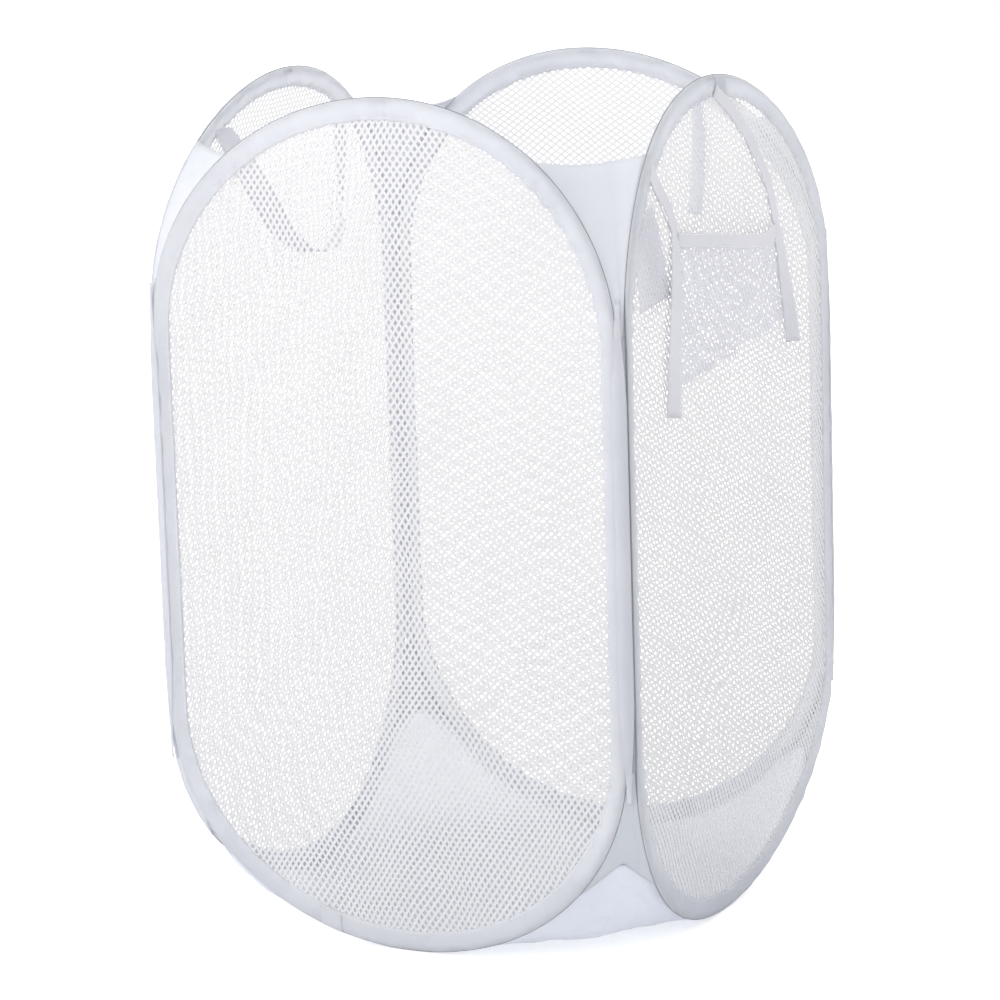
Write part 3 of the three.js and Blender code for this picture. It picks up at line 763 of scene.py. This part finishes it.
def seam(quarter):
    """A corner's seam: the binding outside it, and inside it the rolled edge of the two sleeves.

    The open corner has a thicker roll about its pivot, and a lap on each hoop's edge.
    """
    name = "seam_" + CORNERS[quarter]
    held = CORNERS[quarter] != OPEN_CORNER
    middle, radius = (177.0, 2.3) if held else (HOOP_HALF, 4.2)
    heights = np.linspace(SEAM_FOOT - 4, SEAM_TOP + 5, 90)
    line = np.stack(np.broadcast_arrays(middle, -middle, heights), 1)
    from_end = np.minimum(heights - heights[0], heights[-1] - heights)
    taper = np.clip(from_end / (4 * radius), 0.3, 1) ** 0.5
    roll = tube(name + "_roll", turned(line, quarter), radius * taper, 14, band_cloth, closed=False)
    if held:
        for thing in (seam_part(name, quarter, np.linspace(0, 1, 15)), roll):
            blend_across(thing, quarter, 178.5, 3.0, MID_HEIGHT)
        return
    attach(roll, SIDES[quarter] + "_panel")
    for panel, turns in ((quarter, np.linspace(0, 0.27, 6)), (quarter + 1, np.linspace(0.73, 1, 6))):
        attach(seam_part(f"{name}_{SIDES[panel]}_lap", quarter, turns), SIDES[panel] + "_panel")


for quarter in range(4):
    gusset(quarter, False)
    gusset(quarter, True)
    seam(quarter)


# Base

def base_point(p, q):
    """A point of the base cloth, for p and q from -1 to 1."""
    far, near = np.maximum(np.abs(p), np.abs(q)), np.minimum(np.abs(p), np.abs(q))
    corner = far * near
    rise = hoop_rise(corner * far * CORNER_SHARE * HOOP_HALF)
    # the corners level off softly at their height
    soft = 6
    level = BASE_CORNER_RISE - soft * np.log1p(np.exp((BASE_CORNER_RISE - rise) / soft))
    z = np.maximum(level, 0) + 0.2
    drawn = BASE_EDGE - CORNER_SHARE * HOOP_HALF
    x = p * (BASE_EDGE - drawn * q ** 8) - np.sign(p) * p ** 4 * lean(z)
    y = q * (BASE_EDGE - drawn * p ** 8) - np.sign(q) * q ** 4 * lean(z)
    flat = np.stack([x, y], 1)
    # folds that fan out of each corner, and looser ones all over
    toward = near / np.maximum(far, 1e-6)
    fan = np.sin((np.abs(x) - np.abs(y)) / 8.5 + 1.4 * ripple(flat, 90, 5)) * toward ** 6 * corner ** 0.7
    folds = 2.2 * fan + 0.9 * ripple(flat, 60, 6) * corner ** 0.5 + 0.5 * ripple(flat, 22, 7)
    # a pressed crease across each corner
    past = (np.abs(x) + np.abs(y) - CREASE_AT - 3 * ripple(flat, 120, 8)) / math.sqrt(2)
    crease = 3.0 * np.exp(-np.abs(past) / 5.0)
    free = np.clip(8 * (1 - far), 0, 1)
    return x, y, np.maximum(z + free * (folds + crease), 0.3)


def base_border(edge, u, quarter):
    """Rows of the base's border, turned up from its edge and sewn on the sleeve's inner face."""
    section = np.array(SECTION)
    insets = np.append(section[1:-2, 0], TURN_UP)
    taper = np.clip((150 - np.abs(u)) / 22, 0, 1) ** 0.5
    share = np.minimum(np.abs(u) / HOOP_HALF, 0.999)
    slope = (HOOP_END / HOOP_HALF) * share / np.sqrt(1 - share ** 2) * np.sign(u)
    size = np.hypot(1, slope)
    wrinkle = 0.18 * ripple(u[:, None], 14, 12 + quarter)
    rows = []
    for inset in insets:
        half = np.interp(inset * taper, section[:, 0], section[:, 1])
        ease = np.clip(inset * taper / 2.5, 0, 1)[:, None]
        reach = sleeve_inset(inset * taper, hoop_rise(u))
        depth = SLEEVE_HALF + np.maximum(half, 2.0) + 0.5 + wrinkle
        lifted = on_panel(u - slope / size * reach, hoop_rise(u) + reach / size, depth)
        row = edge * (1 - ease) + lifted * ease
        rows.append(np.where(taper[:, None] > 0, row, edge + np.array([0, 0, 0.02 * inset])))
    return rows


def base_quadrant(side, quarter):
    """The quarter of the base beside a panel, with its turned up border."""
    way = np.linspace(-1, 1, 97)
    r, k = np.meshgrid(np.linspace(0.004, 1, 56), way, indexing="ij")
    plan = turned(np.stack([(r * k).ravel(), -r.ravel(), np.zeros(r.size)], 1), quarter)
    grid = np.stack(base_point(plan[:, 0], plan[:, 1]), 1).reshape(*r.shape, 3)
    u = way * CORNER_SHARE * HOOP_HALF
    border = np.concatenate(base_border(turned(grid[-1], -quarter), u, quarter))
    grid = np.concatenate([grid, turned(border, quarter).reshape(-1, len(way), 3)])
    along, sideways = way_over(grid, 0), way_over(grid, 1)
    sideways -= sideways[:, -1:] / 2
    uv = np.stack([sideways, along], -1).reshape(-1, 2)
    faces = grid_faces(*grid.shape[:2])
    thing = build("base_cloth_" + side, grid.reshape(-1, 3), faces, sheet_cloth, uv)
    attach(thing, side + "_panel")
    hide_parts("base_sheet")
    fold_flat(thing, quarter)
    row = grid[-2][np.abs(u) < 138]
    inner = turned(np.tile([0.0, 1.0, 0.0], (len(row), 1)), quarter)
    sew("base_stitches_" + side, side + "_panel", [(row + inner * 0.1, inner)])


for quarter, side in enumerate(SIDES):
    base_quadrant(side, quarter)


# Pocket, straps and handle

def shares_to_panel(shares):
    """Places on a panel from shares of the hoop's half width and of the height."""
    return np.array(shares) * (HOOP_HALF, HEIGHT)


NEAR_TAPE = shares_to_panel([(-0.677, 0.918), (-0.63, 0.895), (-0.565, 0.873), (-0.517, 0.843)])
NEAR_LEG = shares_to_panel([(-0.517, 0.843), (-0.642, 0.635)])
FAR_TAPE = shares_to_panel([(0.02, 0.982), (0.17, 0.95), (0.32, 0.903), (0.42, 0.855), (0.4545, 0.815)])
FAR_LEG = shares_to_panel([(0.4545, 0.815), (0.551, 0.665)])
# where the pocket's net is sewn, as shares of the legs
NEAR_NET = (0.1, 0.89)
FAR_NET = (0.14, 0.82)
CLOSING_LINE = shares_to_panel([(-0.74, 0.868), (-0.69, 0.82), (-0.64, 0.763)])
TIE_LINE = shares_to_panel([(-0.11, 0.98), (-0.125, 0.925), (-0.21, 0.848)])
HANDLE_LINE = shares_to_panel(
    [(0.34, 0.9), (0.2, 0.85), (0.04, 0.8), (-0.14, 0.771), (-0.32, 0.766), (-0.46, 0.785), (-0.52, 0.845)]
)
TAPE_STITCH = {"pitch": 3.0, "length": 2.1, "width": 0.45, "height": 0.25}
BOX_STITCH = {"pitch": 2.6, "length": 1.9, "width": 0.45, "height": 0.25}
HANDLE_STITCH = {"pitch": 3.4, "length": 2.4, "width": 0.5, "height": 0.25}


def smooth_line(places, count):
    """A smooth curve through places on a panel."""
    curve, _ = catmull_rom([(u, 0.0, z) for u, z in places], count)
    return curve[:, [0, 2]]


def webbing_piece(name, frames, width, thickness, material, body, node):
    """A tape of webbing from its centre, across and through, in place of a node."""
    thing = ribbon(name, *frames, width, thickness, material)
    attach(thing, body)
    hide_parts(node)


def pocket_corners():
    """The corners of the pocket's net: near and far at the top, then at the foot."""
    off = TAPE_WIDTH / 2 + 0.6
    near = [NEAR_LEG[0] + (NEAR_LEG[1] - NEAR_LEG[0]) * way + (off, 0) for way in NEAR_NET]
    far = [FAR_LEG[0] + (FAR_LEG[1] - FAR_LEG[0]) * way - (off, 0) for way in FAR_NET]
    return near[0], far[0], near[1], far[1]


def pocket_frame(u, z):
    """Across and up shares of places on the pocket."""
    near_top, far_top, near_foot, far_foot = pocket_corners()

    def between(x, a, b, c, d):
        return c + (x - a) * (d - c) / (b - a)

    near = between(z, near_foot[1], near_top[1], near_foot[0], near_top[0])
    far = between(z, far_foot[1], far_top[1], far_foot[0], far_top[0])
    foot = between(u, near_foot[0], far_foot[0], near_foot[1], far_foot[1])
    top = between(u, near_top[0], far_top[0], near_top[1], far_top[1])
    return (u - near) / (far - near), (z - foot) / (top - foot)


def tape_frame(line, depth, turn):
    """Centre, across and through of a tape on the right panel. turn swings its far edge outwards."""
    tangent = unit(np.gradient(line, axis=0))
    flat = np.stack([-tangent[:, 1], np.zeros(len(line)), tangent[:, 0]], 1)
    inwards = np.tile([0.0, 1.0, 0.0], (len(line), 1))
    c, s = np.cos(turn)[:, None], np.sin(turn)[:, None]
    centre = on_panel(line[:, 0], line[:, 1], depth, RIGHT)
    return centre, turned(flat * c - inwards * s, RIGHT), turned(inwards * c + flat * s, RIGHT)


def side_tape(name, upper, leg, node):
    """A side tape of the pocket: a curve from the hoop, then a leg that turns outwards to its square end."""
    curve_rows, leg_rows = 26, 21
    straight = np.linspace(0, 1, leg_rows + 1)[1:, None]
    line = np.vstack([smooth_line(upper, curve_rows), leg[0] + (leg[1] - leg[0]) * straight])
    turn = math.radians(60) * np.clip((np.arange(len(line)) - curve_rows + 1) / leg_rows, 0, 1)
    depth = OUTER_LAY + ripple(line, 30, 41) * 0.12 - np.sin(turn) * TAPE_WIDTH / 2
    frames = centre, across, through = tape_frame(line, depth, turn)
    webbing_piece(name, frames, TAPE_WIDTH, 0.9, webbing, "right_panel", node)
    lines = [(centre + across * side * 3.9 - through * 0.45, -through) for side in (-1, 1)]
    sew(name + "_stitches", "right_panel", lines, flat=(1, 2), **TAPE_STITCH)


def pocket_net():
    """The pocket's net, which bulges outwards below its mouth."""
    near_top, far_top, near_foot, far_foot = pocket_corners()

    def inside(u, z):
        across, up = pocket_frame(u, z)
        over = 4.0 / (far_top[0] - near_top[0])
        return (across > -over) & (across < 1 + over) & (up > -0.02) & (up < 1.07)

    def lift(u, z):
        across, up = pocket_frame(u, z)
        bulge = POCKET_BULGE * np.sin(math.pi * np.clip(across, 0, 1)) * np.clip(up, 0, 1.1)
        free = np.clip(np.minimum(across, 1 - across) * 6, 0, 1) * np.clip(up * 4, 0, 1)
        return OUTER_LAY - bulge + 0.75 + free * 0.9 * ripple(np.stack([u, z], 1), 40, 61)

    def warp(u, z):
        p = np.stack([u, z], 1)
        return 0.9 * ripple(p, 45, 62), 1.4 * ripple(p, 50, 63)

    centre = ((near_foot[0] + far_top[0]) / 2, (near_foot[1] + far_top[1]) / 2)
    bounds = ((-120, 110), (370, 510))
    points, faces, uv, area = net(inside, lift, POCKET_CELL, POCKET_STRAND, centre, RIGHT, bounds, warp)
    thing = build("pocket_net", points, faces, pocket_yarn, uv)
    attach(thing, "right_panel")
    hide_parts("pocket_mesh")


def mouth_tape():
    """The tape along the pocket's mouth, which sags and bulges with the net."""
    near_top, far_top, _, _ = pocket_corners()
    start, end = near_top + (-1.5, 5.3), far_top + (1.5, 5.3)
    way = np.linspace(0, 1, 44)
    line = start + (end - start) * way[:, None]
    line[:, 1] -= 4.5 * np.sin(math.pi * way ** 1.5)
    depth = OUTER_LAY - POCKET_BULGE * np.sin(math.pi * way) - 0.25
    centre = on_panel(line[:, 0], line[:, 1], depth, RIGHT)
    tangent = unit(np.gradient(centre, axis=0))
    through = unit(np.cross(tangent, np.array([0.0, 0.0, 1.0])))
    across = np.cross(through, tangent)
    frames = (centre, across, through)
    name = "pocket_mouth_webbing"
    webbing_piece(name, frames, TAPE_WIDTH, 1.3, webbing, "right_panel", "pocket_mouth_tape")
    lines = [(centre + across * side * 3.8 + through * 0.65, through) for side in (-1, 1)]
    sew("pocket_mouth_stitches", "right_panel", lines, flat=(1, 2), **TAPE_STITCH)


def box_stitches(name, centre, across, through):
    """Stitches in a crossed box at a strap's free end, on both its faces."""
    half_width, rows = 13, 7
    lines = []
    for face in (-1, 1):
        end, side, normal = centre[-1], across[-1], through[-1] * face
        length = end - centre[-1 - rows]
        box = ((-1, 0.1), (1, 0.1), (1, 0.9), (-1, 0.9), (-1, 0.1))
        corners = [end + side * half_width * a - length * b for a, b in box]
        corners += [corners[0], corners[2], corners[1], corners[3]]
        for a, b in zip(corners[:-1], corners[1:]):
            if np.linalg.norm(b - a) < 1:
                continue
            steps = np.linspace(0, 1, 12)[:, None]
            lines.append((a + (b - a) * steps + normal * 0.5, np.tile(normal, (12, 1))))
    sew(name, "right_panel", lines, flat=(1, 2), **BOX_STITCH)


def hung_strap(name, places, width, node, twist):
    """A strap that hangs inside the right panel and twists towards its free end. Returns its frames."""
    line = smooth_line(places, 34)
    turn = math.radians(twist) * np.linspace(0, 1, len(line)) ** 0.7
    depth = INNER_LAY + 0.15 + ripple(line, 36, 47) * 0.25 + np.sin(turn) * width / 2
    frames = tape_frame(line, depth, turn)
    webbing_piece(name, frames, width, 0.9, strap_cloth, "right_panel", node)
    return frames


def carry_handle():
    """A webbing loop inside the left panel, flat at its ends and on edge round its lowest bend."""
    count = 90
    end = 0.5 * HOOP_HALF
    top = HEIGHT - float(hoop_rise(end)) - 13
    points = [(end, 0.0, top), *[(u, 0.0, z) for u, z in HANDLE_LINE], (-end, 0.0, top)]
    curve, tangent = catmull_rom(points, count)
    inwards = np.array([0.0, 1.0, 0.0])
    # the ends lie level, and the rest is square to the loop's line
    level = np.where(tangent[:, 2:] > 0, 1.0, -1.0) * np.array([1.0, 0.0, 0.0])
    square = unit(np.cross(tangent, inwards))
    square *= np.where(np.sum(square * level, axis=1) < 0, -1.0, 1.0)[:, None]
    row = np.arange(count)
    ease = np.clip(np.minimum(row, count - 1 - row) / 4, 0, 1)[:, None]
    flat = unit(level * (1 - ease) + square * ease)
    turn = math.pi / 2 * np.sin(math.pi * np.linspace(0, 1, count)) ** 2
    across = flat * np.cos(turn)[:, None] + inwards * np.sin(turn)[:, None]
    centre = on_panel(curve[:, 0], curve[:, 2], INNER_LAY + HANDLE_WIDTH / 2 * np.sin(turn))
    through = unit(np.cross(across, tangent))
    frames = [turned(part, LEFT) for part in (centre, across, through)]
    webbing_piece("carry_webbing", frames, HANDLE_WIDTH, 1.3, handle_cloth, "left_handle", "carry_handle")
    centre, across, through = (part[4:-4] for part in frames)
    lines = [
        (centre + across * side * 7.6 + through * face * 0.65, through * face)
        for side in (-1, 1) for face in (-1, 1)
    ]
    sew("carry_webbing_stitches", "left_handle", lines, flat=(1, 2), **HANDLE_STITCH)


side_tape("pocket_near_webbing", NEAR_TAPE, NEAR_LEG, "pocket_near_tape")
side_tape("pocket_far_webbing", FAR_TAPE, FAR_LEG, "pocket_far_tape")
pocket_net()
mouth_tape()
closing_frames = hung_strap("closing_webbing", CLOSING_LINE, 34.0, "closing_strap", 12)
box_stitches("closing_webbing_stitches", *closing_frames)
hung_strap("tie_webbing", TIE_LINE, 10.0, "tie_ribbon", 55)
carry_handle()


# Floor, light and camera

MIDDLE = Vector((0, 0, 0.3))
scene = bpy.context.scene
scene.view_settings.view_transform = "Standard"


def floor():
    """A wide pale floor, a little brighter where it is seen directly."""
    size = 6000.0
    points = [(-size, -size, -0.3), (size, -size, -0.3), (size, size, -0.3), (-size, size, -0.3)]
    material = bpy.data.materials.new("floor_paint")
    node = node_maker(material)
    matt = node("ShaderNodeBsdfDiffuse", {"Color": (0.88, 0.88, 0.88, 1)})
    seen = node("ShaderNodeLightPath").outputs["Is Camera Ray"]
    strength = math_node(node, "MULTIPLY", seen, 0.42)
    glow = node("ShaderNodeEmission", {"Color": (1, 1, 1, 1), "Strength": strength})
    lit = node("ShaderNodeAddShader", {0: matt.outputs[0], 1: glow.outputs[0]})
    node("ShaderNodeOutputMaterial", {"Surface": lit.outputs[0]})
    build("floor", points, [[0, 1, 2, 3]], material, [(x, y) for x, y, _ in points])


def sky():
    """Pale light from all round, and a plain white ground behind the object."""
    scene.world = bpy.data.worlds.new("studio")
    node = node_maker(scene.world)
    light = node("ShaderNodeBackground", {"Color": (0.985, 0.99, 1.0, 1), "Strength": 1.15})
    clear = node("ShaderNodeBackground", {"Color": (1, 1, 1, 1), "Strength": 1.0})
    seen = node("ShaderNodeLightPath").outputs["Is Camera Ray"]
    both = node("ShaderNodeMixShader", {0: seen, 1: light.outputs[0], 2: clear.outputs[0]})
    node("ShaderNodeOutputWorld", {"Surface": both.outputs[0]})


def lamp(name, place, size, power):
    """A round lamp aimed at the hamper's middle."""
    data = bpy.data.lights.new(name, "AREA")
    data.shape = "DISK"
    data.size = size
    data.energy = power
    thing = bpy.data.objects.new(name, data)
    scene.collection.objects.link(thing)
    thing.location = place
    thing.rotation_euler = (MIDDLE - Vector(place)).to_track_quat("-Z", "Y").to_euler()


def view(azimuth, elevation, roll, distance):
    """The camera, at angles in degrees about the hamper's middle and a distance in metres."""
    azimuth, elevation, roll = (math.radians(angle) for angle in (azimuth, elevation, roll))
    level = math.cos(elevation)
    away = Vector((math.sin(azimuth) * level, -math.cos(azimuth) * level, math.sin(elevation)))
    right = away.cross(Vector((0, 0, -1))).normalized()
    up = away.cross(right).normalized()
    rolled_right = right * math.cos(roll) + up * math.sin(roll)
    rolled_up = up * math.cos(roll) - right * math.sin(roll)
    lens = bpy.data.cameras.new("camera")
    lens.sensor_width = 36.0
    lens.lens = 4.147 * 36.0
    lens.shift_x = -0.0038
    lens.shift_y = -0.0142
    lens.clip_end = 60
    camera = bpy.data.objects.new("camera", lens)
    scene.collection.objects.link(camera)
    turn = Matrix((rolled_right, rolled_up, away)).transposed().to_4x4()
    camera.matrix_world = Matrix.Translation(MIDDLE + away * distance) @ turn
    scene.camera = camera


floor()
sky()
lamp("key_lamp", (-2.0, -2.2, 1.1), 1.8, 30)
lamp("top_lamp", (-0.2, -1.3, 2.5), 1.4, 10)
lamp("rim_lamp", (-1.2, 2.4, 1.5), 1.8, 24)
view(26.7, 11.53, -1.81, 3.0)
